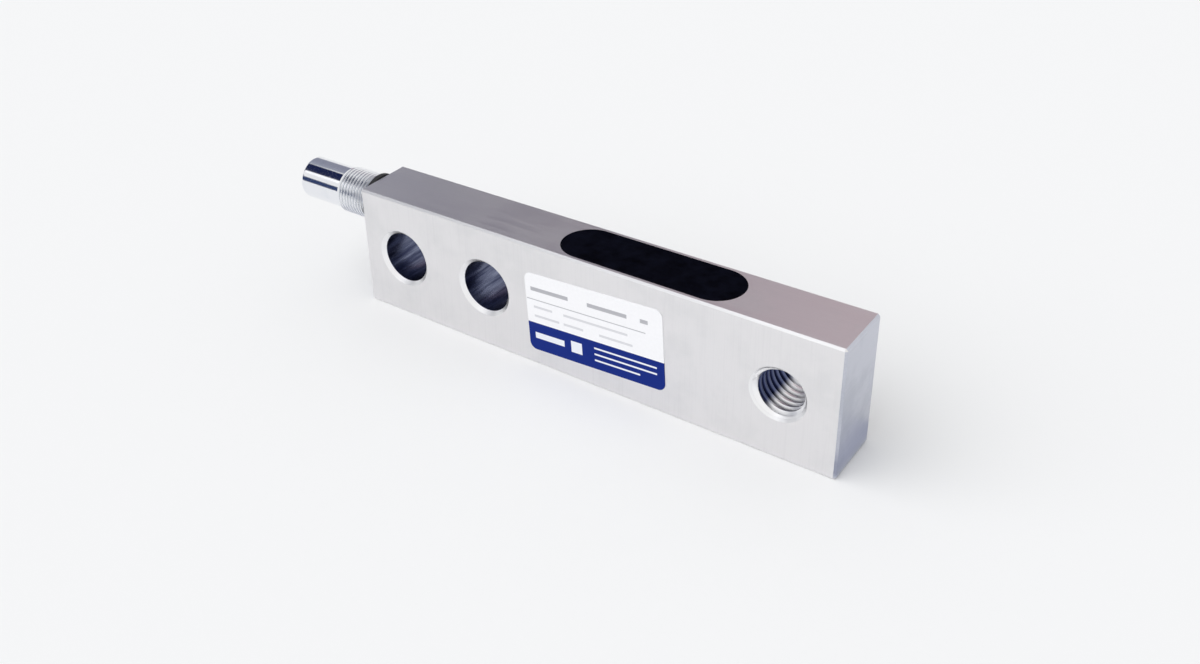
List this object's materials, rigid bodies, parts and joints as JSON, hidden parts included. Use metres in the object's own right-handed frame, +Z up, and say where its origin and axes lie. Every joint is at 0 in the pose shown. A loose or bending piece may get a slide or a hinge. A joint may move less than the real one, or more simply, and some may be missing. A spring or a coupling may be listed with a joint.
{
  "type": "shear beam load cell",
  "caption": "Single-ended shear beam load cell: plated steel bar with potted gauge pockets, plain mounting bores, a threaded load hole and a turned cable fitting.",
  "frame": {"origin": "middle of the threaded load hole, half-way through the beam", "axes": "+X along the beam to the load end, +Y along the holes from the labelled face to the back, +Z up through the gauge pockets, as the cell lies in the picture"},
  "size_m": [0.1525, 0.0161, 0.0321],
  "materials": {
    "plated_steel": "satin ground, nickel plated",
    "polished_plating": "polished, nickel plated",
    "black_potting": "cast, nearly matte",
    "clear_gel": "soft and clear",
    "gauge_film": "amber film with grey foil",
    "circuit_board": "glass-fibre laminate with tinned pads",
    "chip_body": "ceramic chip with tinned caps",
    "ribbon_film": "flat film conductor",
    "lead_film": "thin film lead",
    "brass_washer": "stamped",
    "black_rubber": "matte",
    "label_film": "printed film, white over a blue band"
  },
  "bodies": {
    "root": {"beam": "plated_steel", "upper_potting": "black_potting", "lower_potting": "black_potting", "upper_gauge_gel": "clear_gel", "lower_gauge_gel": "clear_gel", "upper_shear_gauge": "gauge_film", "lower_shear_gauge": "gauge_film", "upper_terminal_strip": "circuit_board", "lower_terminal_strip": "circuit_board", "upper_gauge_leads": "lead_film", "lower_gauge_leads": "lead_film", "compensation_board": "circuit_board", "zero_resistor": "chip_body", "span_resistor": "chip_body", "temperature_resistor": "chip_body", "upper_bridge_ribbon": "ribbon_film", "lower_bridge_ribbon": "ribbon_film", "cable_fitting": "polished_plating", "seal_ring": "black_rubber", "pressure_washer": "brass_washer", "sealing_sleeve": "black_rubber", "thrust_washer": "brass_washer", "label": "label_film"}
  },
  "joints": []
}
